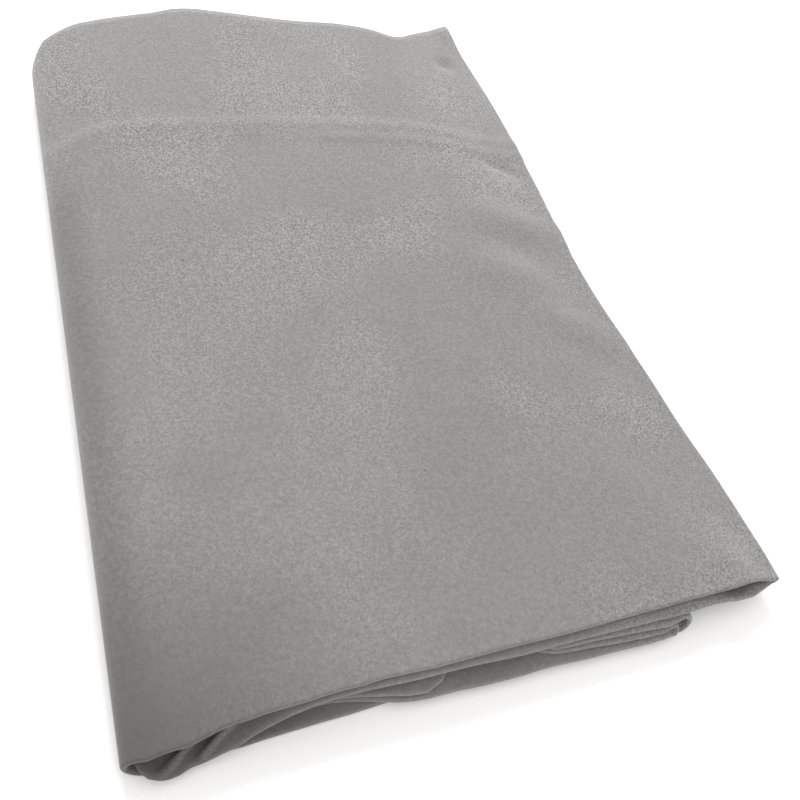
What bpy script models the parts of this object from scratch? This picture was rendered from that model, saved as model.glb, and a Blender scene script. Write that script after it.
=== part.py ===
# Microfibre towel, folded into a flat packet: Blender 4.5, metres, +Z up.
#
# The towel is one rectangular cloth.  It is folded in half lengthwise, with that fold along the
# packet's front, and the doubled strip is then folded across into six layers: in half, and in
# thirds round the strip's two free ends, which stay inside near the left side.
# X runs across the packet, Y from its front to its back, and Z up from the surface it lies on.

import math

import bmesh
import bpy
from mathutils import Matrix, Vector

MM = 0.001

# Cloth
CLOTH_THICKNESS = 1.0       # mm, suede-finish microfibre with its nap
CLOTH_CENTRES = 1.3         # mm between the middles of the strip's two cloths
LAYER_PITCH = 2.8           # mm between the middles of two doubled layers

# Packet
PACKET_LENGTH = 400.0       # mm, half of the towel's width
LEFT_TURN_X = -125.0        # mm, where the layers start to turn at the left
RIGHT_TURN_X = 129.0        # mm, where the top two layers start to turn at the right
OUTER_NOSE_X = 80.5         # mm, where the bottom and third layers start to turn at the right
INNER_NOSE_X = 76.0         # mm, where the fifth and fourth layers start to turn inside them
THIRD_END_X = -104.0        # mm, free end of the third layer, inside the packet
FOURTH_END_X = -102.0       # mm, free end of the fourth layer
INNER_HEM_INSET = 5.0       # mm, how far the strip's inner cloth stops short at the back
HEM_STEP = 2.0              # mm, how far each layer's back hem stops short of the one above it
TURN_SEGMENTS = 5
CREASE_SEGMENTS = 4

# The layers lie looser in the middle than at the front, and closest at the left front corner.
LOFT = 0.12                 # share of the pitch
LOFT_RUN = 65.0             # mm, behind the front line
CORNER_SQUEEZE = 0.12       # share of the pitch
CORNER_REACH = (95.0, 110.0)

BOTTOM, FIFTH, FOURTH, THIRD, SECOND, TOP = range(6)

# How far each layer's front fold stands forward of the packet's front line, in mm.
FRONT_COLUMNS = ("x", BOTTOM, FIFTH, FOURTH, THIRD, SECOND, TOP)
FRONT = (
    (-125.0, 1.0, -7.0, -22.0, -24.0, 2.8, -1.4),
    (-117.0, 0.6, -8.5, -22.0, -24.0, 4.0, -2.0),
    (-109.0, 0.6, -11.0, -21.0, -23.0, 2.6, -2.3),
    (-98.0, 0.9, -11.0, -19.0, -21.0, 1.3, -4.1),
    (-88.0, 0.7, -8.5, -16.0, -18.0, -1.1, -4.4),
    (-76.0, 0.7, -5.8, -10.0, -13.0, -2.6, -4.3),
    (-61.0, 0.9, -3.5, -4.0, -9.0, -3.2, -4.5),
    (-47.0, 0.8, 0.4, -0.8, -8.5, -2.5, -4.4),
    (-28.0, -0.6, 4.1, 2.6, -8.0, -1.3, -3.1),
    (-10.0, -1.6, 5.2, -2.0, -8.0, -0.6, -2.8),
    (19.0, -3.0, 6.0, 1.6, 1.0, 0.9, -1.8),
    (50.0, -2.6, 7.8, 5.5, 3.6, 2.0, -1.3),
    (63.0, -1.0, 8.6, 6.6, 4.7, 2.5, -1.0),
    (70.0, 2.0, 8.7, 6.9, 5.4, 2.8, -0.8),
    (76.0, 6.4, 8.6, 6.0, 5.8, 3.1, -0.8),
    (81.0, 7.4, 8.2, 6.0, 4.4, 3.2, -0.8),
    (98.0, 7.4, 8.2, 6.0, 4.4, 2.8, -0.6),
    (115.0, 7.4, 8.2, 6.0, 4.4, 4.1, -0.4),
    (121.0, 7.4, 8.2, 6.0, 4.4, 2.9, -0.4),
    (129.0, 7.4, 8.2, 6.0, 4.4, 0.9, 0.9),
)

# The top layer's back hem, in mm from the packet's middle.
HEM_COLUMNS = ("x", "back")
HEM = (
    (-133.0, 165.0),
    (-125.0, 183.0),
    (-113.0, 193.5),
    (-88.0, 202.3),
    (-63.0, 207.6),
    (-39.0, 212.3),
    (-3.0, 208.4),
    (47.0, 205.0),
    (72.0, 198.5),
    (84.0, 192.0),
    (100.0, 196.6),
    (115.0, 203.5),
    (129.0, 207.0),
)
LEFT_CORNER_CUT = 18.0      # mm, how far the hem runs forward round the left turn

# A soft crease that runs across the packet and turns down towards the front at the left.
CROSS_CREASE_COLUMNS = ("x", "y")
CROSS_CREASE = (
    (-133.0, 68.0),
    (-127.0, 81.0),
    (-113.0, 92.0),
    (-90.0, 98.0),
    (2.0, 98.0),
    (60.0, 93.0),
    (129.0, 79.0),
)
CROSS_CREASE_RISE = 0.9     # mm
CROSS_CREASE_WIDTH = 16.0   # mm, half of its width

# The right side in plan: how far it stands in from a straight line, in mm.
RIGHT_SIDE_COLUMNS = ("y", "inset")
RIGHT_SIDE = (
    (-200.0, -1.0),
    (-150.0, 2.0),
    (-95.0, 5.1),
    (-36.0, 7.9),
    (20.0, 5.6),
    (53.0, 2.8),
    (100.0, 0.7),
    (200.0, 0.0),
)

# How far the second layer's front fold sags below the top one, in mm.
SAG_COLUMNS = ("x", "sag")
SAG = (
    (-125.0, 0.8),
    (-117.0, 3.4),
    (-109.0, 5.4),
    (-101.0, 6.0),
    (-95.0, 4.8),
    (-90.0, 3.6),
    (-84.0, 1.8),
    (-76.0, 0.0),
)
SAG_RUN = (4.0, 14.0)       # mm behind the fold, between which the cloth rises again

# Soft swells: each lifts the layers from one to another, in mm.
SWELL_COLUMNS = ("lowest", "highest", "x", "y", "half_width", "half_length", "rise")
SWELLS = (
    (SECOND, TOP, -40.0, 215.0, 75.0, 70.0, 2.6),
    (TOP, TOP, 111.0, -203.0, 18.0, 38.0, 3.4),
    (SECOND, TOP, 133.0, 208.0, 20.0, 32.0, 2.8),
    (TOP, TOP, -30.0, -60.0, 110.0, 150.0, 0.8),
    (TOP, TOP, 120.0, 120.0, 22.0, 60.0, 1.2),
    (FOURTH, TOP, -95.0, 160.0, 60.0, 80.0, 0.8),
)
RIGHT_DROOP = 4.0           # mm, how far the top two layers sag past the lower four
RIGHT_DROOP_X = 73.0        # mm, where they start to sag
RIGHT_DROOP_RUN = 60.0      # mm, over which they sag
LEFT_DROOP = 2.0            # mm, how far the top two layers come down to the left turn
LEFT_DROOP_RUN = 20.0       # mm, over which they come down

# Each left turn by the layer it starts or ends at: its least bulge and its front's tuck, in mm.
LEFT_TURN_COLUMNS = ("layer", "bulge", "tuck")
LEFT_TURNS = (
    (TOP, 7.3, 1.6),
    (SECOND, 3.8, 3.4),
)

# Rows of points from front to back: what each is measured from, and how far behind it, in mm.
ROW_COLUMNS = ("from", "behind")
ROWS = (
    ("front", 0.0),
    ("front", 7.0),
    ("front", 14.0),
    ("front", 22.0),
    ("middle", -140.0),
    ("middle", -60.0),
    ("middle", 20.0),
    ("crease", -16.0),
    ("crease", 0.0),
    ("crease", 16.0),
    ("middle", 150.0),
    ("back", 0.0),
)

# Stations across the packet, in mm.
TOP_STATIONS = (-125.0, -119.0, -113.0, -107.0, -98.0, -84.0, -61.0, -33.0, 6.0, 36.0, 63.0, 84.0,
                100.0, 112.0, 121.0, 129.0)
SECOND_STATIONS = (-125.0, -119.0, -113.0, -107.0, -98.0, -91.0, -84.0, -76.0, -61.0, -33.0, 6.0, 36.0,
                   63.0, 84.0, 100.0, 112.0, 121.0, 129.0)
LOWER_STATIONS = (-88.0, -68.0, -47.0, -28.0, -10.0, 19.0, 50.0, 70.0)
LEFT_STATIONS = (-125.0, -104.0)    # of the two lower layers that reach the left turns


def soft_step(value):
    """Rises smoothly from 0 to 1 as value does."""
    value = min(max(value, 0.0), 1.0)
    return value * value * (3.0 - 2.0 * value)


def soft_bump(value):
    """Falls smoothly from 1 at 0 to nothing at -1 and 1."""
    return soft_step(1.0 - abs(value))


def slope_at(table, index, row):
    """Slope of a table's column at one of its rows, level past its ends."""
    if row == 0 or row == len(table) - 1:
        return 0.0
    before, after = table[row - 1], table[row + 1]
    return (after[index] - before[index]) / (after[0] - before[0])


def read(table, columns, column, place):
    """A table's column at a place between its rows, on a smooth curve through them."""
    index = columns.index(column)
    place = min(max(place, table[0][0]), table[-1][0])
    row = next(row for row in range(1, len(table)) if place <= table[row][0])
    before, after = table[row - 1], table[row]
    gap = after[0] - before[0]
    part = (place - before[0]) / gap
    rise = soft_step(part)
    leave = slope_at(table, index, row - 1) * gap * part * (1 - part) ** 2
    arrive = slope_at(table, index, row) * gap * part ** 2 * (part - 1)
    return before[index] * (1 - rise) + after[index] * rise + leave + arrive


def front_of(layer, x):
    """Y of a layer's front fold."""
    return -PACKET_LENGTH / 2 - read(FRONT, FRONT_COLUMNS, layer, x)


def back_of(layer, x):
    """Y of a layer's back hem."""
    stepped = read(HEM, HEM_COLUMNS, "back", x) - HEM_STEP * (TOP - layer)
    return stepped if layer == TOP else min(stepped, front_of(layer, x) + PACKET_LENGTH)


def crease_height(x, y):
    """Height of the soft crease across the top."""
    middle = read(CROSS_CREASE, CROSS_CREASE_COLUMNS, "y", x)
    return CROSS_CREASE_RISE * soft_bump((y - middle) / CROSS_CREASE_WIDTH)


def looseness(x, y):
    """How loosely the layers lie at a place, as a share of their pitch."""
    behind = y + PACKET_LENGTH / 2
    corner = math.hypot((x - LEFT_TURN_X) / CORNER_REACH[0], behind / CORNER_REACH[1])
    return 1.0 + LOFT * soft_step(behind / LOFT_RUN) - CORNER_SQUEEZE * soft_step(1.0 - corner)


def sag_at(x, y):
    """How far the second layer hangs below the top one."""
    behind = y - front_of(SECOND, x)
    start, end = SAG_RUN
    return read(SAG, SAG_COLUMNS, "sag", x) * (1.0 - soft_step((behind - start) / (end - start)))


def layer_height(layer, x, y):
    """Height of the middle of a doubled layer."""
    height = (CLOTH_CENTRES + CLOTH_THICKNESS) / 2 + layer * LAYER_PITCH * looseness(x, y)
    for lowest, highest, swell_x, swell_y, half_width, half_length, rise in SWELLS:
        if lowest <= layer <= highest:
            distance = math.hypot((x - swell_x) / half_width, (y - swell_y) / half_length)
            height += rise * soft_bump(min(distance, 1.0))
    if layer == TOP:
        height += crease_height(x, y)
    if layer == SECOND:
        height -= sag_at(x, y)
    if layer >= SECOND:
        height -= RIGHT_DROOP * soft_step((x - RIGHT_DROOP_X) / RIGHT_DROOP_RUN)
        height -= LEFT_DROOP * soft_step((LEFT_TURN_X + LEFT_DROOP_RUN - x) / LEFT_DROOP_RUN)
    return height


def plan_x(layer, x, y):
    """X of a point after the right side's inset."""
    if layer < SECOND:
        return x
    inset = read(RIGHT_SIDE, RIGHT_SIDE_COLUMNS, "inset", y)
    return x - inset * soft_step((x - INNER_NOSE_X) / (RIGHT_TURN_X - INNER_NOSE_X))


def row_place(row, front, back, x):
    """Y of a row of points."""
    start, behind = row
    if start == "front":
        return front + (CLOTH_CENTRES + CLOTH_THICKNESS) / 2 + behind
    if start == "crease":
        return read(CROSS_CREASE, CROSS_CREASE_COLUMNS, "y", x) + behind
    if start == "back":
        return back + behind
    return behind


def run_points(layer, x):
    """A layer's points at one station, from front to back."""
    points = []
    for row in ROWS:
        y = row_place(row, front_of(layer, x), back_of(layer, x), x)
        points.append(Vector((plan_x(layer, x, y), y, layer_height(layer, x, y))))
    return points


def turn_points(start, end, x, side, angle):
    """Points at one angle of the turn from one layer to another, from front to back."""
    share = soft_step(angle / math.pi)
    front = front_of(start, x) * (1 - share) + front_of(end, x) * share
    back = back_of(start, x) * (1 - share) + back_of(end, x) * share
    least_bulge = 0.0
    if side < 0:
        for layer, bulge, tuck in LEFT_TURNS:
            if layer in (start, end):
                least_bulge = bulge
                front += tuck * math.sin(angle)
        if TOP in (start, end):
            back -= LEFT_CORNER_CUT * math.sin(angle)
    points = []
    for row in ROWS:
        y = row_place(row, front, back, x)
        start_height = layer_height(start, x, y)
        end_height = layer_height(end, x, y)
        half = (start_height - end_height) / 2
        height = end_height + half * (1 + math.cos(angle))
        reach = side * max(abs(half), least_bulge) * math.sin(angle)
        points.append(Vector((plan_x(start, x, y) + reach, y, height)))
    return points


def strip_stations():
    """Every station along the doubled strip, each a row of points from front to back."""
    top = list(TOP_STATIONS)
    second = list(SECOND_STATIONS)
    lower = list(LOWER_STATIONS)
    outer = list(LEFT_STATIONS) + lower + [OUTER_NOSE_X]
    inner = list(LEFT_STATIONS) + lower + [INNER_NOSE_X]
    path = (
        (THIRD, [THIRD_END_X] + lower + [OUTER_NOSE_X], BOTTOM, OUTER_NOSE_X, 1),
        (BOTTOM, outer[::-1], TOP, LEFT_TURN_X, -1),
        (TOP, top, SECOND, RIGHT_TURN_X, 1),
        (SECOND, second[::-1], FIFTH, LEFT_TURN_X, -1),
        (FIFTH, inner, FOURTH, INNER_NOSE_X, 1),
        (FOURTH, [INNER_NOSE_X] + lower[::-1] + [FOURTH_END_X], None, None, None),
    )
    stations = []
    for layer, places, following, turn_x, side in path:
        stations += [run_points(layer, x) for x in places]
        if following is not None:
            angles = [math.pi * step / TURN_SEGMENTS for step in range(1, TURN_SEGMENTS)]
            stations += [turn_points(layer, following, turn_x, side, angle) for angle in angles]
    return stations


def cloth_directions(station, ahead, behind, row):
    """The outward normal and the backward direction of a station's cloth at one row."""
    last_row = len(station) - 1
    along = ahead[row] - behind[row]
    backwards = station[min(row + 1, last_row)] - station[max(row - 1, 0)]
    return along.cross(backwards).normalized(), backwards.normalized()


def front_fold(station, ahead, behind):
    """Points round the strip's front fold at one station, from its outer to its inner cloth."""
    normal = cloth_directions(station, ahead, behind, 0)[0]
    forward = (ahead[0] - behind[0]).cross(normal).normalized()
    fold = []
    for step in range(1, CREASE_SEGMENTS):
        angle = math.pi * step / CREASE_SEGMENTS
        turned = normal * math.cos(angle) + forward * math.sin(angle)
        fold.append(station[0] + turned * CLOTH_CENTRES / 2)
    return fold


def cloth_points(stations):
    """The towel's middle surface: the strip's outer cloth, its front fold and its inner cloth."""
    half = CLOTH_CENTRES / 2
    sheet = []
    for number, station in enumerate(stations):
        ahead = stations[min(number + 1, len(stations) - 1)]
        behind = stations[max(number - 1, 0)]
        outer = []
        inner = []
        for row, point in enumerate(station):
            normal, backwards = cloth_directions(station, ahead, behind, row)
            inset = INNER_HEM_INSET if row == len(station) - 1 else 0.0
            outer.append(point + normal * half)
            inner.append(point - normal * half - backwards * inset)
        sheet.append(outer[::-1] + front_fold(station, ahead, behind) + inner)
    return sheet


def make_material():
    """Mid grey suede-finish microfibre."""
    material = bpy.data.materials.new("grey microfibre")
    material.use_nodes = True
    shader = material.node_tree.nodes["Principled BSDF"]
    shader.inputs["Base Color"].default_value = (0.185, 0.183, 0.178, 1.0)
    shader.inputs["Roughness"].default_value = 0.95
    shader.inputs["Metallic"].default_value = 0.0
    return material


def make_towel():
    """The whole folded towel as one closed solid."""
    sheet = cloth_points(strip_stations())
    across = len(sheet) - 1
    along = len(sheet[0]) - 1
    model = bmesh.new()
    bmesh.ops.create_grid(model, x_segments=across, y_segments=along, size=1.0)
    for vertex in model.verts:
        station = round((vertex.co.x + 1.0) / 2.0 * across)
        row = round((vertex.co.y + 1.0) / 2.0 * along)
        vertex.co = sheet[station][row] * MM
    mesh = bpy.data.meshes.new("towel")
    model.to_mesh(mesh)
    model.free()
    towel = bpy.data.objects.new("towel", mesh)
    bpy.context.scene.collection.objects.link(towel)
    mesh.materials.append(make_material())
    mesh.shade_smooth()
    thickness = towel.modifiers.new("cloth thickness", "SOLIDIFY")
    thickness.thickness = CLOTH_THICKNESS * MM
    thickness.offset = 0.0
    thickness.use_even_offset = True
    return towel


def centre_over_origin(towel):
    """Moves the packet sideways so that its outline is centred on the origin."""
    evaluated = towel.evaluated_get(bpy.context.evaluated_depsgraph_get())
    corners = [Vector(corner) for corner in evaluated.bound_box]
    middle = (corners[0] + corners[6]) / 2
    towel.data.transform(Matrix.Translation((-middle.x, -middle.y, 0.0)))


for old in list(bpy.data.objects):
    bpy.data.objects.remove(old)
centre_over_origin(make_towel())
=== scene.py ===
"""Looks of a plain microfibre towel with a suede finish, folded into a flat packet.

The towel is one rectangular cloth.  It is folded in half lengthwise, with that fold along the
packet's front, and the doubled strip is folded across into six layers round its two free ends.
The cloth is one thin sheet laid along those folds, with its creases and swells placed one by one.
X runs across the packet, Y from its front to its back, and Z up.  Sizes are in millimetres until
the sheet is placed.
"""

import math

import bmesh
import bpy
from bpy.props import FloatProperty, FloatVectorProperty, PointerProperty
from bpy.types import Operator, Panel, PropertyGroup
from mathutils import Euler, Matrix, Vector, noise


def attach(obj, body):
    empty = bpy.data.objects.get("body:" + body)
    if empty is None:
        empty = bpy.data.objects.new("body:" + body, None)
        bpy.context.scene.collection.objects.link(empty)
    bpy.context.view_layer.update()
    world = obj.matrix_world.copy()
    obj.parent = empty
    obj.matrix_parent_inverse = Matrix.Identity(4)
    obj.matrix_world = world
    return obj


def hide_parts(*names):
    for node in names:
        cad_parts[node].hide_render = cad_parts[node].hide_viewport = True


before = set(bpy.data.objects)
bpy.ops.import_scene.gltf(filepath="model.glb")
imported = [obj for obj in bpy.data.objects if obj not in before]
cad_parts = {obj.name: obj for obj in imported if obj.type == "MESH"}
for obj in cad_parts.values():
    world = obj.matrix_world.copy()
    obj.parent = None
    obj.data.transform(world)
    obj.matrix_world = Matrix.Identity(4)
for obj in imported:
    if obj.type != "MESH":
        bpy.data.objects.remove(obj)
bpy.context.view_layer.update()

bl_info = {
    "name": "Folded towel",
    "version": (1, 0, 0),
    "blender": (4, 5, 0),
    "location": "3D View > Sidebar > Towel",
    "description": "Makes a microfibre towel folded into a flat packet, and a plain studio for it",
    "category": "Object",
}

MM = 0.001

# Where the layers turn, in millimetres across the packet.
LEFT_TURN_X = -125.0
RIGHT_TURN_X = 129.0
OUTER_NOSE_X = 80.5
INNER_NOSE_X = 76.0
THIRD_END_X = -104.0
FOURTH_END_X = -102.0
SECOND_CLOSE_X = -86.0              # left of it, the second layer's stations are close together
OUTLINE_MIDDLE = (-0.31, 1.69)      # the outline's middle, which lies over the frame's origin

BOTTOM, FIFTH, FOURTH, THIRD, SECOND, TOP = range(6)

# How far each layer's front fold stands forward of the packet's front line.
FRONT_COLUMNS = ("x", BOTTOM, FIFTH, FOURTH, THIRD, SECOND, TOP)
FRONT = (
    (-129.0, 1.0, -7.0, -22.0, -24.0, 0.8, -0.2),
    (-125.0, 1.0, -7.0, -22.0, -24.0, 2.8, -1.4),
    (-121.0, 0.8, -7.5, -22.0, -24.0, 4.2, -1.9),
    (-117.0, 0.6, -8.5, -22.0, -24.0, 4.0, -2.0),
    (-113.0, 0.5, -10.5, -22.0, -24.0, 2.9, -1.7),
    (-109.0, 0.6, -11.0, -21.0, -23.0, 2.6, -2.3),
    (-103.0, 0.7, -11.0, -20.0, -22.0, 1.8, -3.4),
    (-98.0, 0.9, -11.0, -19.0, -21.0, 1.3, -4.1),
    (-93.0, 0.9, -10.0, -18.0, -20.0, -0.1, -4.0),
    (-88.0, 0.7, -8.5, -16.0, -18.0, -1.1, -4.4),
    (-76.0, 0.7, -5.8, -10.0, -13.0, -2.6, -4.3),
    (-68.0, 0.7, -4.4, -6.5, -10.0, -3.0, -4.5),
    (-61.0, 0.9, -3.5, -4.0, -9.0, -3.2, -4.5),
    (-54.0, 0.8, -1.7, -2.6, -8.5, -3.0, -4.2),
    (-47.0, 0.8, 0.4, -0.8, -8.0, -2.5, -4.4),
    (-41.0, 0.5, 2.3, 0.6, -7.0, -2.1, -4.0),
    (-33.0, 0.0, 3.8, 2.5, -6.0, -1.5, -3.5),
    (-28.0, -0.6, 4.1, 2.0, -6.5, -1.3, -3.1),
    (-25.0, -0.9, 4.2, 0.4, -8.5, -1.3, -3.1),
    (-22.0, -1.2, 4.2, -2.6, -11.0, -1.2, -3.0),
    (-16.0, -1.4, 4.7, -7.0, -13.5, -0.9, -2.9),
    (-10.0, -1.6, 5.2, -9.0, -15.0, -0.6, -2.8),
    (6.0, -2.5, 6.0, -6.0, -8.0, 0.6, -2.4),
    (19.0, -3.0, 6.0, 1.6, 1.0, 0.9, -1.8),
    (36.0, -3.0, 7.2, 4.0, 2.4, 1.4, -1.4),
    (50.0, -2.6, 7.8, 5.5, 3.6, 2.0, -1.3),
    (63.0, -1.0, 8.6, 6.6, 4.7, 2.5, -1.0),
    (70.0, 2.0, 8.7, 6.9, 5.4, 2.8, -0.8),
    (76.0, 6.4, 8.6, 6.0, 5.8, 3.1, -0.8),
    (81.0, 7.4, 8.2, 6.0, 4.4, 3.2, -0.8),
    (98.0, 7.4, 8.2, 6.0, 4.4, 2.8, -0.6),
    (105.0, 7.4, 8.2, 6.0, 4.4, 3.5, -0.1),
    (115.0, 7.4, 8.2, 6.0, 4.4, 4.1, -0.4),
    (121.0, 7.4, 8.2, 6.0, 4.4, 2.9, -0.4),
    (129.0, 7.4, 8.2, 6.0, 4.4, 0.9, 0.9),
)

# The top layer's back hem, measured from the packet's middle.
HEM_COLUMNS = ("x", "back")
HEM = (
    (-133.0, 165.0),
    (-125.0, 183.0),
    (-113.0, 193.5),
    (-101.0, 198.5),
    (-88.0, 202.3),
    (-75.0, 205.2),
    (-63.0, 207.6),
    (-51.0, 211.5),
    (-39.0, 212.3),
    (-27.0, 210.7),
    (-3.0, 208.4),
    (21.0, 206.4),
    (47.0, 205.0),
    (60.0, 202.5),
    (72.0, 198.5),
    (84.0, 192.0),
    (92.0, 192.5),
    (100.0, 196.6),
    (115.0, 203.5),
    (129.0, 207.0),
)
LEFT_CORNER_CUT = 18.0              # how far the hem runs forward round the left turn

# The line of the soft crease that runs across the packet.
CROSS_CREASE_COLUMNS = ("x", "y")
CROSS_CREASE = (
    (-133.0, 68.0),
    (-127.0, 81.0),
    (-113.0, 92.0),
    (-90.0, 98.0),
    (-60.0, 99.5),
    (2.0, 98.0),
    (60.0, 93.0),
    (129.0, 79.0),
)

# Ridges along that line: how far behind it, from where to where, how high and how wide.
RIDGE_COLUMNS = ("behind", "from_x", "to_x", "rise", "half_width")
RIDGES = (
    (0.0, -160.0, 160.0, 0.55, 16.0),
    (5.0, -160.0, 150.0, 0.45, 7.0),
    (-7.0, -10.0, 150.0, 0.45, 5.5),
)
RIDGE_FADE = 30.0

# The right side in plan: how far it stands in from a straight line.
RIGHT_SIDE_COLUMNS = ("y", "inset")
RIGHT_SIDE = (
    (-200.0, -1.0),
    (-180.0, 0.2),
    (-150.0, 2.0),
    (-125.0, 4.2),
    (-95.0, 5.1),
    (-63.0, 6.8),
    (-36.0, 7.9),
    (-8.0, 7.3),
    (20.0, 5.6),
    (53.0, 2.8),
    (100.0, 0.7),
    (200.0, 0.0),
)

# How far the second layer's front fold sags below the top one.
SAG_COLUMNS = ("x", "sag")
SAG = (
    (-129.0, 3.4),
    (-125.0, 3.8),
    (-121.0, 4.6),
    (-117.0, 5.6),
    (-113.0, 6.3),
    (-105.0, 6.8),
    (-100.0, 5.6),
    (-95.0, 4.8),
    (-90.0, 3.6),
    (-84.0, 1.8),
    (-76.0, 0.0),
)
SAG_RUN = (5.0, 16.0)       # the cloth rises again between these distances behind the fold

# Pleats of its upper cloth, up to the top layer, that slant to the left as they come down.
PLEAT_COLUMNS = ("x", "half_width")
PLEATS = (
    (-112.0, 3.2),
    (-99.0, 3.0),
)
PLEAT_RUN = 7.0
PLEAT_SLANT = 13.0
PLEAT_GAP = 0.3

# Soft swells: each lifts the layers from one to another, or lowers them where its rise is negative.
SWELL_COLUMNS = ("lowest", "highest", "x", "y", "half_width", "half_length", "rise")
SWELLS = (
    (SECOND, TOP, -40.0, 215.0, 75.0, 70.0, 2.6),
    (TOP, TOP, 111.0, -203.0, 18.0, 38.0, 3.4),
    (SECOND, SECOND, 109.0, -192.5, 13.0, 12.5, -7.0),
    (SECOND, TOP, 133.0, 208.0, 20.0, 32.0, 2.8),
    (TOP, TOP, -30.0, -60.0, 110.0, 150.0, 0.8),
    (TOP, TOP, 120.0, 120.0, 22.0, 60.0, 1.2),
    (FOURTH, TOP, -95.0, 160.0, 60.0, 80.0, 0.8),
)
RIGHT_DROOP = 4.0
RIGHT_DROOP_X = 73.0
RIGHT_DROOP_RUN = 60.0
LEFT_DROOP = 2.4
LEFT_DROOP_RUN = 22.0

# Each left turn by the layer it starts or ends at: its least bulge, and its front's tuck.
LEFT_TURN_COLUMNS = ("layer", "bulge", "tuck")
LEFT_TURNS = (
    (TOP, 7.3, 1.6),
    (SECOND, 3.8, 3.4),
)

# The layers lie looser in the middle than at the front, and closest at the left front corner.
LOFT = 0.12
LOFT_RUN = 65.0
EDGE_SQUEEZE = 0.06
EDGE_RUN = 16.0
CORNER_SQUEEZE = 0.12
CORNER_REACH = (95.0, 110.0)

# Wrinkles in the top layer: each a soft ridge, or a trough where its rise is negative.
WRINKLE_COLUMNS = ("x", "y", "half_length", "half_width", "turn", "rise")
WRINKLES = (
    (104.0, 14.0, 48.0, 16.0, -20.0, 2.7),
    (94.0, -6.0, 36.0, 15.0, -26.0, -0.9),
    (80.0, -22.0, 38.0, 20.0, -30.0, 1.9),
    (102.0, -58.0, 40.0, 15.0, -25.0, 2.1),
    (104.0, -80.0, 30.0, 14.0, -25.0, -0.8),
    (98.0, -140.0, 34.0, 22.0, -42.0, -0.9),
    (112.0, 61.0, 22.0, 7.0, -32.0, -1.5),
    (113.0, 165.0, 11.0, 9.0, -20.0, -2.6),
)

# A few dark specks of lint on the top layer.
LINT_COLUMNS = ("x", "y", "radius")
LINT = (
    (-79.9, 5.4, 0.7),
    (-9.8, -41.1, 0.6),
    (-5.9, -122.5, 0.5),
    (54.9, 112.3, 0.7),
)

# Rows of points from front to back, in zones between the places they are measured from.
ROW_COLUMNS = ("from", "behind", "to", "behind", "rows")
ROW_ZONES = (
    ("front", 0.0, "front", 8.0, 10),
    ("front", 8.0, "front", 24.0, 8),
    ("front", 24.0, "crease", -26.0, 26),
    ("crease", -26.0, "crease", 26.0, 21),
    ("crease", 26.0, "back", 0.0, 19),
)
PLEAT_ROWS = 10             # rows of the inner cloth that stay as close as the outer cloth's
FRONT_FOLD_SEGMENTS = 8

# The nap: noise in waves per metre or as a share of the tufts', the spans of noise over which
# each pattern comes in, and how much of it shows.
TUFT_SPAN = (0.34, 0.66)
PEBBLE_SCALE_SHARE = 0.5
CLUMP_SCALE_SHARE = 0.45
CLUMP_SPAN = (0.32, 0.68)
CLUMP_SHARE = 0.22
PATCH_SCALE = 26.0
PATCH_SPAN = (0.30, 0.75)
PATCH_SHARE = 0.10
TINT_SCALE = 17.0
TINT_SPAN = (0.40, 0.60)
TINT_SHARE = 0.55
FLATTENED_SPAN = (0.10, 0.36)       # metres from the middle of the painted corner shade
FLATTENED_SHARE = 0.7
FLATTENED_RELIEF_LOSS = 0.5
LINT_EDGE = (0.5, 1.3)              # shares of a speck's radius between which it fades
LINT_SHARE = 0.75
TUFT_RELIEF = 0.6
PEBBLE_RELIEF = 0.4
ROUGHNESS_SPAN = (0.2, 0.8)
ROUGHNESS_RANGE = 0.12
LEAST_ROUGHNESS = 0.84
NAP_SPECULAR = 0.18
SHEEN_ROUGHNESS = 0.5
SHEEN_TINT = (1.0, 1.0, 0.98, 1.0)

# The studio, in metres.
BACK_LIGHT_PLACE = (0.60, 4.00, 2.50)
BACK_LIGHT_SIZE = 2.0
FLOOR_REACH = 6.0
FLOOR_ROUGHNESS = 0.75


def soft_step(value):
    """Rises smoothly from 0 to 1 as value does."""
    value = min(max(value, 0.0), 1.0)
    return value * value * (3.0 - 2.0 * value)


def soft_bump(value):
    """Falls smoothly from 1 at 0 to nothing at -1 and 1."""
    return soft_step(1.0 - abs(value))


def slope_at(table, index, row):
    """Slope of a table's column at one of its rows, level past its ends."""
    if row == 0 or row == len(table) - 1:
        return 0.0
    before, after = table[row - 1], table[row + 1]
    return (after[index] - before[index]) / (after[0] - before[0])


def read(table, columns, column, place):
    """A table's column at a place between its rows, on a smooth curve through them."""
    index = columns.index(column)
    place = min(max(place, table[0][0]), table[-1][0])
    row = next(row for row in range(1, len(table)) if place <= table[row][0])
    before, after = table[row - 1], table[row]
    gap = after[0] - before[0]
    part = (place - before[0]) / gap
    rise = soft_step(part)
    leave = slope_at(table, index, row - 1) * gap * part * (1 - part) ** 2
    arrive = slope_at(table, index, row) * gap * part ** 2 * (part - 1)
    return before[index] * (1 - rise) + after[index] * rise + leave + arrive


def evenly(start, end, count):
    """Count + 1 places from start to end."""
    return [start + (end - start) * step / count for step in range(count + 1)]


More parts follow.
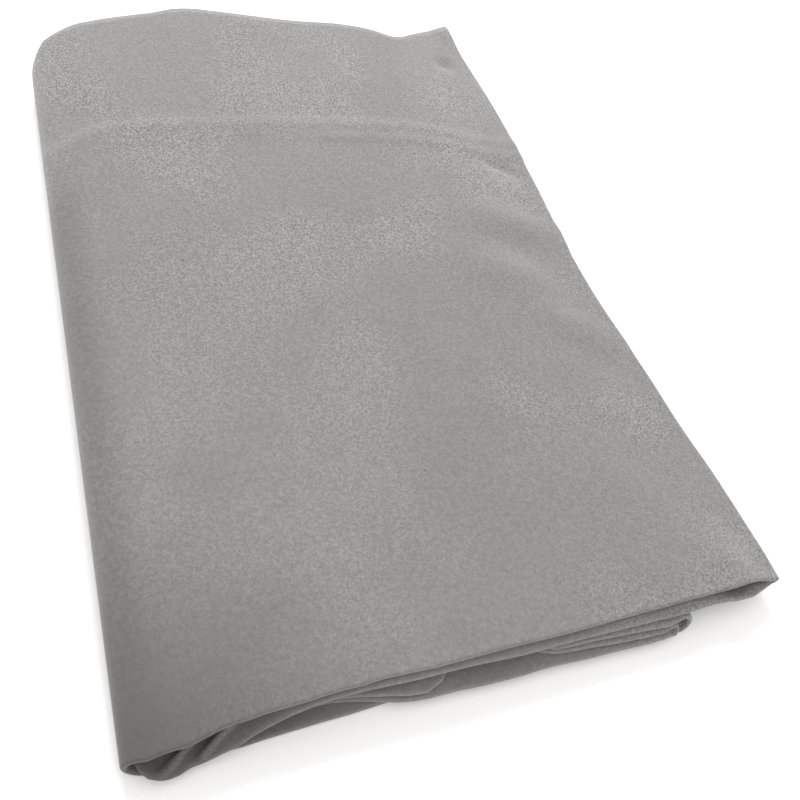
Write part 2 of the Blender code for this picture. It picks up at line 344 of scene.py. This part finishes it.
class Fold:
    """The doubled strip's path through the packet, from the sizes that the panel holds."""

    def __init__(self, sizes):
        self.length = sizes.packet_length / MM
        self.pitch = sizes.layer_pitch / MM
        self.centres = sizes.cloth_centres / MM
        self.thickness = sizes.cloth_thickness / MM
        self.hem_step = sizes.hem_step / MM
        self.hem_inset = sizes.inner_hem_inset / MM
        self.unevenness = sizes.unevenness / MM

    def front_of(self, layer, x):
        """Y of a layer's front fold."""
        return -self.length / 2 - read(FRONT, FRONT_COLUMNS, layer, x)

    def back_of(self, layer, x):
        """Y of a layer's back hem."""
        stepped = read(HEM, HEM_COLUMNS, "back", x) - self.hem_step * (TOP - layer)
        return stepped if layer == TOP else min(stepped, self.front_of(layer, x) + self.length)

    def top_relief(self, x, y):
        """Height that the top layer's creases, wrinkles and unevenness add."""
        behind = y - read(CROSS_CREASE, CROSS_CREASE_COLUMNS, "y", x)
        height = 0.0
        for offset, from_x, to_x, rise, half_width in RIDGES:
            ends = soft_step((x - from_x) / RIDGE_FADE) * soft_step((to_x - x) / RIDGE_FADE)
            height += rise * ends * soft_bump((behind - offset) / half_width)
        for centre_x, centre_y, half_length, half_width, turn, rise in WRINKLES:
            angle = math.radians(turn)
            along = (x - centre_x) * math.cos(angle) + (y - centre_y) * math.sin(angle)
            across = (y - centre_y) * math.cos(angle) - (x - centre_x) * math.sin(angle)
            distance = math.hypot(along / half_length, across / half_width)
            height += rise * soft_bump(min(distance, 1.0))
        broad = noise.noise(Vector((x / 55.0, y / 70.0, 3.1)))
        fine = noise.noise(Vector((x / 21.0, y / 24.0, 7.7)))
        return height + self.unevenness * (1.0 + 0.7 * broad + 0.3 * fine)

    def looseness(self, x, y):
        """How loosely the layers lie at a place, as a share of their pitch."""
        behind = y + self.length / 2
        corner = math.hypot((x - LEFT_TURN_X) / CORNER_REACH[0], behind / CORNER_REACH[1])
        loft = LOFT * soft_step(behind / LOFT_RUN) - EDGE_SQUEEZE * soft_step(1.0 - behind / EDGE_RUN)
        return 1.0 + loft - CORNER_SQUEEZE * soft_step(1.0 - corner)

    def sag(self, x, y):
        """How far the second layer hangs below the top one."""
        behind = y - self.front_of(SECOND, x)
        hanging = 1.0 - soft_step((behind - SAG_RUN[0]) / (SAG_RUN[1] - SAG_RUN[0]))
        return hanging * read(SAG, SAG_COLUMNS, "sag", x) if hanging > 0.0 else 0.0

    def pleat_rise(self, x, y):
        """How far the pleats lift the second layer's upper cloth."""
        behind = y - self.front_of(SECOND, x)
        across = x + PLEAT_SLANT * max(1.0 - behind / PLEAT_RUN, 0.0)
        held = max(soft_bump((across - centre) / half_width) for centre, half_width in PLEATS)
        rise = math.sin(min(behind / PLEAT_RUN, 1.0) * math.pi / 2)
        return held * rise * (self.sag(x, y) + PLEAT_GAP)

    def height_of(self, layer, x, y):
        """Height of the middle of a doubled layer."""
        height = (self.centres + self.thickness) / 2 + layer * self.pitch * self.looseness(x, y)
        for lowest, highest, swell_x, swell_y, half_width, half_length, rise in SWELLS:
            if lowest <= layer <= highest:
                distance = math.hypot((x - swell_x) / half_width, (y - swell_y) / half_length)
                height += rise * soft_bump(min(distance, 1.0))
        if layer == TOP:
            height += self.top_relief(x, y)
        if layer == SECOND:
            height -= self.sag(x, y)
        if layer >= SECOND:
            height -= RIGHT_DROOP * soft_step((x - RIGHT_DROOP_X) / RIGHT_DROOP_RUN)
            height -= LEFT_DROOP * soft_step((LEFT_TURN_X + LEFT_DROOP_RUN - x) / LEFT_DROOP_RUN)
        return height

    def plan_x(self, layer, x, y):
        """X of a point after the right side's inset."""
        if layer < SECOND:
            return x
        inset = read(RIGHT_SIDE, RIGHT_SIDE_COLUMNS, "inset", y)
        return x - inset * soft_step((x - INNER_NOSE_X) / (RIGHT_TURN_X - INNER_NOSE_X))

    def rows(self, front, back, x):
        """Y of each row of points."""
        start = {
            "front": front + (self.centres + self.thickness) / 2,
            "crease": read(CROSS_CREASE, CROSS_CREASE_COLUMNS, "y", x),
            "back": back,
        }
        places = [start["front"]]
        for from_name, from_behind, to_name, to_behind, count in ROW_ZONES:
            places += evenly(start[from_name] + from_behind, start[to_name] + to_behind, count)[1:]
        return places

    def run_points(self, layer, x):
        """A layer's points at one station, from front to back."""
        points = []
        for y in self.rows(self.front_of(layer, x), self.back_of(layer, x), x):
            points.append(Vector((self.plan_x(layer, x, y), y, self.height_of(layer, x, y))))
        rises = [self.pleat_rise(x, point.y) if layer == SECOND else 0.0 for point in points]
        return points, rises

    def turn_points(self, start, end, x, side, angle):
        """Points at one angle of the turn from one layer to another, from front to back."""
        share = soft_step(angle / math.pi)
        front = self.front_of(start, x) * (1 - share) + self.front_of(end, x) * share
        back = self.back_of(start, x) * (1 - share) + self.back_of(end, x) * share
        least_bulge = 0.0
        for layer, bulge, tuck in LEFT_TURNS:
            if side < 0 and layer in (start, end):
                least_bulge = bulge
                front += tuck * math.sin(angle)
        if side < 0 and TOP in (start, end):
            back -= LEFT_CORNER_CUT * math.sin(angle)
        points = []
        for y in self.rows(front, back, x):
            start_height = self.height_of(start, x, y)
            end_height = self.height_of(end, x, y)
            half = (start_height - end_height) / 2
            height = end_height + half * (1 + math.cos(angle))
            reach = side * max(abs(half), least_bulge) * math.sin(angle)
            points.append(Vector((self.plan_x(start, x, y) + reach, y, height)))
        return points, [0.0] * len(points)

    def stations(self):
        """Every station along the doubled strip, each a row of points from front to back."""
        bottom = evenly(OUTER_NOSE_X, LEFT_TURN_X, 28)
        top = evenly(LEFT_TURN_X, RIGHT_TURN_X, 96)
        second = evenly(LEFT_TURN_X, SECOND_CLOSE_X, 50)
        second += evenly(SECOND_CLOSE_X, RIGHT_TURN_X, 32)[1:]
        third = evenly(THIRD_END_X, OUTER_NOSE_X, 22)
        fourth = evenly(INNER_NOSE_X, FOURTH_END_X, 30)[1:]
        fifth = evenly(LEFT_TURN_X, INNER_NOSE_X, 36)
        path = (
            (THIRD, third, BOTTOM, OUTER_NOSE_X, 1, 12),
            (BOTTOM, bottom, TOP, LEFT_TURN_X, -1, 16),
            (TOP, top, SECOND, RIGHT_TURN_X, 1, 10),
            (SECOND, second[::-1], FIFTH, LEFT_TURN_X, -1, 10),
            (FIFTH, fifth, FOURTH, INNER_NOSE_X, 1, 8),
            (FOURTH, fourth, None, None, None, 0),
        )
        stations = []
        for layer, places, following, turn_x, side, segments in path:
            stations += [self.run_points(layer, x) for x in places]
            for step in range(1, segments):
                angle = math.pi * step / segments
                stations.append(self.turn_points(layer, following, turn_x, side, angle))
        return stations

    def directions(self, stations, number, row):
        """Directions along the strip, towards the back and out of the layer at one point."""
        ahead = stations[min(number + 1, len(stations) - 1)][0]
        behind = stations[max(number - 1, 0)][0]
        points = stations[number][0]
        along = ahead[row] - behind[row]
        backwards = points[min(row + 1, len(points) - 1)] - points[max(row - 1, 0)]
        return along, backwards, along.cross(backwards).normalized()

    def front_fold(self, stations, number):
        """Points round the front fold at one station, from the outer cloth to the inner one."""
        along, _, normal = self.directions(stations, number, 0)
        forwards = along.cross(normal).normalized()
        middle = stations[number][0][0]
        fold = []
        for step in range(1, FRONT_FOLD_SEGMENTS):
            angle = math.pi * step / FRONT_FOLD_SEGMENTS
            turned = normal * math.cos(angle) + forwards * math.sin(angle)
            fold.append(middle + self.centres / 2 * turned)
        return fold

    def sheet_points(self):
        """The cloth's middle: the strip's outer cloth, its front fold and its inner cloth."""
        stations = self.stations()
        half = self.centres / 2
        sheet = []
        for number, (points, rises) in enumerate(stations):
            outer = []
            inner = []
            for row, point in enumerate(points):
                _, backwards, normal = self.directions(stations, number, row)
                hem = backwards.normalized() * (self.hem_inset if row == len(points) - 1 else 0.0)
                outer.append(point + normal * half)
                inner.append(point - normal * half - hem + Vector((0.0, 0.0, rises[row])))
            fold = self.front_fold(stations, number)
            sheet.append(outer[::-1] + fold + inner[:PLEAT_ROWS] + inner[PLEAT_ROWS::2])
        return sheet


class Wire:
    """A shader value, for sums written as Python expressions."""

    def __init__(self, tree, socket):
        self.tree = tree
        self.socket = socket

    def math(self, operation, other, swapped=False):
        """This value and another, in either order, in one sum."""
        values = (other, self) if swapped else (self, other)
        return self.tree.node("ShaderNodeMath", {"operation": operation}, {0: values[0], 1: values[1]})

    def __add__(self, other):
        return self.math("ADD", other)

    def __sub__(self, other):
        return self.math("SUBTRACT", other)

    def __rsub__(self, other):
        return self.math("SUBTRACT", other, swapped=True)

    def __mul__(self, other):
        return self.math("MULTIPLY", other)

    __radd__ = __add__
    __rmul__ = __mul__


class ShaderTree:
    """One material's nodes."""

    def __init__(self, name):
        self.material = bpy.data.materials.new(name)
        self.material.use_nodes = True
        self.tree = self.material.node_tree
        self.tree.nodes.clear()

    def node(self, kind, settings=None, inputs=None, output=0):
        """Adds a node with its settings and its sockets' values or links, and gives one output."""
        made = self.tree.nodes.new(kind)
        for name, value in (settings or {}).items():
            setattr(made, name, value)
        for name, value in (inputs or {}).items():
            if isinstance(value, Wire):
                self.tree.links.new(value.socket, made.inputs[name])
            else:
                made.inputs[name].default_value = value
        return Wire(self, made.outputs[output]) if made.outputs else None

    def noise(self, place, scale, detail=2.0, roughness=0.5):
        """Noise about 0.5 at a scale in waves per metre."""
        settings = {"noise_dimensions": "3D", "normalize": True}
        inputs = {"Vector": place, "Scale": scale, "Detail": detail, "Roughness": roughness}
        return self.node("ShaderNodeTexNoise", settings, inputs)

    def distance(self, place, centre):
        """Distance of a place from a fixed one."""
        return self.node("ShaderNodeVectorMath", {"operation": "DISTANCE"}, {0: place, 1: centre}, output=1)

    def across_and_deep(self, place):
        """How far a place lies across the packet and towards its back."""
        parts = self.node("ShaderNodeSeparateXYZ", None, {"Vector": place}).socket.node.outputs
        return Wire(self, parts["X"]), Wire(self, parts["Y"])

    def mix(self, share, first, second):
        """A colour between two others."""
        settings = {"data_type": "RGBA", "clamp_factor": True}
        return self.node("ShaderNodeMix", settings, {0: share, 6: first, 7: second}, output=2)

    def between(self, value, low, high):
        """Smoothly 0 to 1 as a value goes from low to high."""
        settings = {"interpolation_type": "SMOOTHSTEP"}
        inputs = {"Value": value, "From Min": low, "From Max": high}
        return self.node("ShaderNodeMapRange", settings, inputs)


def make_suede(finish):
    """Suede-finish microfibre: a short, even nap with soft patches and a little lint, and painted shade at
    the near left corner and along the left fold.
    """
    tree = ShaderTree("grey_microfibre")
    place = tree.node("ShaderNodeTexCoord", output=3)
    askew = tree.node(
        "ShaderNodeMapping", {"vector_type": "POINT"}, {"Vector": place, "Rotation": (0.61, 0.53, 0.37)}
    )
    tufts = tree.noise(askew, finish.tuft_scale, detail=3.0, roughness=0.7)
    pebbles = tree.noise(askew, finish.tuft_scale * PEBBLE_SCALE_SHARE, detail=1.0)
    patches = tree.noise(place, PATCH_SCALE, detail=2.0)
    tint = tree.noise(place, TINT_SCALE, detail=1.0)
    # Painted shade: a dark, slightly warm colour laid over the packet's near left corner, fading with
    # distance; the same distance also softens the nap's grain there.
    from_painted_shade = tree.distance(place, finish.painted_shade_middle)
    corner_shade = 1.0 - tree.between(from_painted_shade, 0.0, finish.painted_shade_reach)
    flattened = 1.0 - tree.between(from_painted_shade, *FLATTENED_SPAN)
    clumps = tree.noise(askew, finish.tuft_scale * CLUMP_SCALE_SHARE, detail=2.0)
    # Painted shade along the strip just inside the left fold, fading out towards the back.
    across, deep = tree.across_and_deep(place)
    left_fold_shade = 1.0 - tree.between(across, *finish.left_shade_span)
    left_fold_shade = left_fold_shade * (1.0 - tree.between(deep, *finish.left_shade_fade))
    level = tree.node(
        "ShaderNodeMapping", {"vector_type": "POINT"}, {"Vector": place, "Scale": (1.0, 1.0, 0.0)}
    )

    light = (*finish.light_nap, 1.0)
    dark = (*finish.dark_nap, 1.0)
    nap = tree.mix(tree.between(tufts, *TUFT_SPAN), dark, light)
    flat = tree.mix(flattened * FLATTENED_SHARE, nap, tree.mix(0.5, dark, light))
    warm = tree.mix(tree.between(tint, *TINT_SPAN) * TINT_SHARE, flat, (*finish.warm_nap, 1.0))
    darker = tree.between(patches, *PATCH_SPAN) * PATCH_SHARE
    darker = darker + tree.between(clumps, *CLUMP_SPAN) * CLUMP_SHARE
    # Random darker patches and clumps of nap, plus the painted shade along the left fold.
    shaded = tree.mix(darker + left_fold_shade * finish.left_shade_share, warm, dark)
    # Lays the painted shade over the near left corner.
    colour = tree.mix(corner_shade * finish.painted_shade_share, shaded, (*finish.painted_corner_shade, 1.0))
    for x, y, radius in LINT:
        centre = ((x - OUTLINE_MIDDLE[0]) * MM, (y - OUTLINE_MIDDLE[1]) * MM, 0.0)
        edge = (radius * share * MM for share in LINT_EDGE)
        speck = 1.0 - tree.between(tree.distance(level, centre), *edge)
        colour = tree.mix(speck * LINT_SHARE, colour, (*finish.lint, 1.0))
    relief = tufts * TUFT_RELIEF + pebbles * PEBBLE_RELIEF
    relief = relief * (1.0 - flattened * FLATTENED_RELIEF_LOSS)
    bump = tree.node(
        "ShaderNodeBump", None,
        {"Strength": finish.nap_bump, "Distance": finish.nap_height, "Height": relief},
    )
    shader = tree.node(
        "ShaderNodeBsdfPrincipled", None,
        {
            "Base Color": colour,
            "Roughness": tree.between(tufts, *ROUGHNESS_SPAN) * ROUGHNESS_RANGE + LEAST_ROUGHNESS,
            "Normal": bump,
            "Specular IOR Level": NAP_SPECULAR,
            "Sheen Weight": finish.sheen,
            "Sheen Roughness": SHEEN_ROUGHNESS,
            "Sheen Tint": SHEEN_TINT,
        },
    )
    tree.node("ShaderNodeOutputMaterial", None, {"Surface": shader})
    return tree.material


def make_plain(name, colour, roughness):
    """A plain matt surface."""
    tree = ShaderTree(name)
    shader = tree.node(
        "ShaderNodeBsdfPrincipled", None, {"Base Color": (*colour, 1.0), "Roughness": roughness}
    )
    tree.node("ShaderNodeOutputMaterial", None, {"Surface": shader})
    return tree.material


def new_object(name, model, material):
    """An object at the origin that holds a finished bmesh."""
    mesh = bpy.data.meshes.new(name)
    model.to_mesh(mesh)
    model.free()
    mesh.materials.append(material)
    mesh.shade_smooth()
    made = bpy.data.objects.new(name, mesh)
    bpy.context.scene.collection.objects.link(made)
    return made


def colour_property(name, description, default):
    """A colour that a user can change."""
    return FloatVectorProperty(
        name=name, description=description, default=default, subtype="COLOR", size=3, min=0.0, max=1.0
    )


class TowelSizes(PropertyGroup):
    """Sizes of the folded towel."""

    cloth_thickness: FloatProperty(
        name="Cloth thickness", description="Thickness of the cloth with its nap",
        default=0.001, min=0.0005, max=0.003, subtype="DISTANCE", unit="LENGTH", precision=4,
    )
    cloth_centres: FloatProperty(
        name="Cloth spacing", description="Between the middles of the strip's two cloths",
        default=0.0013, min=0.0008, max=0.004, subtype="DISTANCE", unit="LENGTH", precision=4,
    )
    layer_pitch: FloatProperty(
        name="Layer pitch", description="Between the middles of two doubled layers",
        default=0.0028, min=0.0015, max=0.008, subtype="DISTANCE", unit="LENGTH", precision=4,
    )
    packet_length: FloatProperty(
        name="Packet length", description="Half of the towel's width",
        default=0.4, min=0.2, max=0.6, subtype="DISTANCE", unit="LENGTH",
    )
    hem_step: FloatProperty(
        name="Hem step", description="How far each layer's back hem stops short of the one above it",
        default=0.002, min=0.0, max=0.01, subtype="DISTANCE", unit="LENGTH", precision=4,
    )
    inner_hem_inset: FloatProperty(
        name="Inner hem inset", description="How far the strip's inner cloth stops short at the back",
        default=0.005, min=0.0, max=0.02, subtype="DISTANCE", unit="LENGTH", precision=4,
    )
    unevenness: FloatProperty(
        name="Unevenness", description="Height of the top layer's soft unevenness",
        default=0.0003, min=0.0, max=0.002, subtype="DISTANCE", unit="LENGTH", precision=4,
    )


class TowelFinish(PropertyGroup):
    """Colours and nap of the towel, and its painted shade."""

    light_nap: colour_property("Light nap", "Colour of the nap's raised tufts", (0.318, 0.316, 0.308))
    dark_nap: colour_property("Dark nap", "Colour between the tufts", (0.084, 0.083, 0.080))
    warm_nap: colour_property("Warm nap", "Colour of the nap's soft warm patches", (0.190, 0.176, 0.174))
    # Painted shade: the dark, slightly warm colour laid over the packet's near left corner, with its
    # middle, reach and strength below.
    painted_corner_shade: colour_property(
        "Painted corner shade", "Colour of the painted shade at the packet's near left corner", (0.084, 0.076, 0.070)
    )
    painted_shade_middle: FloatVectorProperty(
        name="Painted shade middle", description="Middle of the painted shade, at the packet's near left corner",
        default=(-0.132, -0.215, 0.010), subtype="TRANSLATION", unit="LENGTH", size=3,
    )
    painted_shade_reach: FloatProperty(
        name="Painted shade reach", description="How far the painted shade reaches",
        default=0.105, min=0.0, max=0.5, subtype="DISTANCE", unit="LENGTH",
    )
    painted_shade_share: FloatProperty(
        name="Painted shade share", description="How much the painted shade shows", default=0.85, min=0.0, max=1.0
    )
    # Painted shade along the strip just inside the left fold.
    left_shade_span: FloatVectorProperty(
        name="Painted left shade", description="Where the painted shade along the left fold starts and stops fading",
        default=(-0.127, -0.112), subtype="NONE", unit="LENGTH", size=2,
    )
    left_shade_fade: FloatVectorProperty(
        name="Painted left shade fade", description="Where the painted left shade starts and stops fading towards the back",
        default=(0.03, 0.09), subtype="NONE", unit="LENGTH", size=2,
    )
    left_shade_share: FloatProperty(
        name="Painted left shade share", description="How much the painted left shade shows", default=0.36, min=0.0, max=1.0
    )
    lint: colour_property("Lint", "Colour of the few dark specks of lint", (0.07, 0.065, 0.06))
    tuft_scale: FloatProperty(
        name="Tuft scale", description="Tufts of nap to a metre", default=1100.0, min=100.0, max=3000.0
    )
    nap_bump: FloatProperty(
        name="Nap bump", description="Strength of the nap's relief", default=0.6, min=0.0, max=1.0
    )
    nap_height: FloatProperty(
        name="Nap height", description="Height of the nap's relief",
        default=0.0004, min=0.0, max=0.002, subtype="DISTANCE", unit="LENGTH", precision=5,
    )
    sheen: FloatProperty(
        name="Sheen", description="Soft light on the nap at grazing angles", default=0.3, min=0.0, max=1.0
    )


class StudioSettings(PropertyGroup):
    """Floor, lights and camera."""

    floor_colour: colour_property("Floor", "Colour of the plain floor", (0.88, 0.875, 0.868))
    sky_strength: FloatProperty(
        name="Sky", description="Strength of the soft light all round", default=1.2, min=0.0, max=5.0
    )
    back_power: FloatProperty(
        name="Back light", description="Power of the soft light behind the towel",
        default=230.0, min=0.0, max=1000.0, subtype="POWER", unit="POWER",
    )
    camera_place: FloatVectorProperty(
        name="Camera", description="Camera's place over the packet's near corner",
        default=(-0.1194, -0.2549, 0.2788), subtype="TRANSLATION", unit="LENGTH", size=3,
    )
    camera_heading: FloatProperty(
        name="Heading", description="How far the camera looks to the right of the packet's length",
        default=math.radians(34.7), subtype="ANGLE", unit="ROTATION",
    )
    camera_pitch: FloatProperty(
        name="Pitch", description="How far the camera looks down",
        default=math.radians(52.2), subtype="ANGLE", unit="ROTATION",
    )
    camera_roll: FloatProperty(
        name="Roll", description="How far the camera is turned about its view",
        default=math.radians(19.8), subtype="ANGLE", unit="ROTATION",
    )
    lens: FloatProperty(
        name="Lens", description="Focal length in millimetres on a 36 mm sensor",
        default=34.65, min=10.0, max=200.0,
    )


class TOWEL_OT_fold(Operator):
    """Makes the folded towel as one sheet of cloth with a suede finish"""

    bl_idname = "towel.fold"
    bl_label = "Fold the towel"

    def execute(self, context):
        sizes = context.scene.towel_sizes
        fold = Fold(sizes)
        sheet = fold.sheet_points()
        across = len(sheet) - 1
        along = len(sheet[0]) - 1
        model = bmesh.new()
        bmesh.ops.create_grid(model, x_segments=across, y_segments=along, size=1.0)
        for vertex in model.verts:
            station = round((vertex.co.x + 1.0) / 2.0 * across)
            row = round((vertex.co.y + 1.0) / 2.0 * along)
            vertex.co = sheet[station][row] * MM
        middle = Vector((*OUTLINE_MIDDLE, 0.0)) * MM
        bmesh.ops.translate(model, verts=model.verts, vec=-middle)
        towel = new_object("folded_towel", model, make_suede(context.scene.towel_finish))
        thickness = towel.modifiers.new("cloth thickness", "SOLIDIFY")
        thickness.thickness = sizes.cloth_thickness
        thickness.offset = 0.0
        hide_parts("towel")
        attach(towel, "root")
        return {"FINISHED"}


class TOWEL_OT_set_stage(Operator):
    """Makes the plain pale floor, the soft lights and the camera"""

    bl_idname = "towel.set_stage"
    bl_label = "Set the stage"

    def execute(self, context):
        studio = context.scene.towel_studio
        self.make_floor(studio)
        self.make_light(context, "back_light", studio.back_power, BACK_LIGHT_PLACE, BACK_LIGHT_SIZE)
        self.make_sky(context, studio.sky_strength)
        self.make_camera(context, studio)
        return {"FINISHED"}

    def make_floor(self, studio):
        """One large level sheet under the towel."""
        model = bmesh.new()
        bmesh.ops.create_grid(model, x_segments=1, y_segments=1, size=FLOOR_REACH)
        paint = make_plain("floor_paint", studio.floor_colour, FLOOR_ROUGHNESS)
        floor = new_object("floor", model, paint)

    def make_light(self, context, name, power, place, size):
        """A large square light turned towards the towel."""
        lamp = bpy.data.lights.new(name, "AREA")
        lamp.shape = "SQUARE"
        lamp.size = size
        lamp.energy = power
        made = bpy.data.objects.new(name, lamp)
        made.location = place
        made.rotation_euler = (-Vector(place)).to_track_quat("-Z", "Y").to_euler()
        context.scene.collection.objects.link(made)

    def make_sky(self, context, strength):
        """Even white light from all round."""
        world = bpy.data.worlds.new("studio_sky")
        world.use_nodes = True
        background = world.node_tree.nodes["Background"]
        background.inputs["Color"].default_value = (1.0, 1.0, 1.0, 1.0)
        background.inputs["Strength"].default_value = strength
        context.scene.world = world

    def make_camera(self, context, studio):
        """The camera over the packet's near left corner."""
        lens = bpy.data.cameras.new("camera")
        lens.lens = studio.lens
        lens.sensor_width = 36.0
        lens.clip_start = 0.01
        camera = bpy.data.objects.new("camera", lens)
        heading = Euler((math.pi / 2 - studio.camera_pitch, 0.0, -studio.camera_heading)).to_matrix()
        roll = Matrix.Rotation(studio.camera_roll, 3, "Z")
        camera.rotation_euler = (heading @ roll).to_euler()
        camera.location = studio.camera_place
        context.scene.collection.objects.link(camera)
        context.scene.camera = camera


class TOWEL_PT_panel(Panel):
    """Lists the towel's sizes, finish and studio with the buttons that make them"""

    bl_idname = "TOWEL_PT_panel"
    bl_label = "Folded towel"
    bl_space_type = "VIEW_3D"
    bl_region_type = "UI"
    bl_category = "Towel"

    def draw(self, context):
        scene = context.scene
        groups = (
            (scene.towel_sizes, TOWEL_OT_fold.bl_idname),
            (scene.towel_finish, None),
            (scene.towel_studio, TOWEL_OT_set_stage.bl_idname),
        )
        for group, button in groups:
            column = self.layout.column(align=True)
            for name in group.__annotations__:
                column.prop(group, name)
            if button:
                self.layout.operator(button)


CLASSES = (TowelSizes, TowelFinish, StudioSettings, TOWEL_OT_fold, TOWEL_OT_set_stage, TOWEL_PT_panel)


def register():
    """Registers the classes and puts their settings on the scene."""
    for made in CLASSES:
        bpy.utils.register_class(made)
    bpy.types.Scene.towel_sizes = PointerProperty(type=TowelSizes)
    bpy.types.Scene.towel_finish = PointerProperty(type=TowelFinish)
    bpy.types.Scene.towel_studio = PointerProperty(type=StudioSettings)


def unregister():
    """Takes the settings and the classes away again."""
    del bpy.types.Scene.towel_studio
    del bpy.types.Scene.towel_finish
    del bpy.types.Scene.towel_sizes
    for made in reversed(CLASSES):
        bpy.utils.unregister_class(made)


def main():
    """Makes the towel and its stage."""
    register()
    bpy.context.scene.view_settings.view_transform = "Standard"
    bpy.ops.towel.fold()
    bpy.ops.towel.set_stage()


if __name__ == "__main__":
    main()
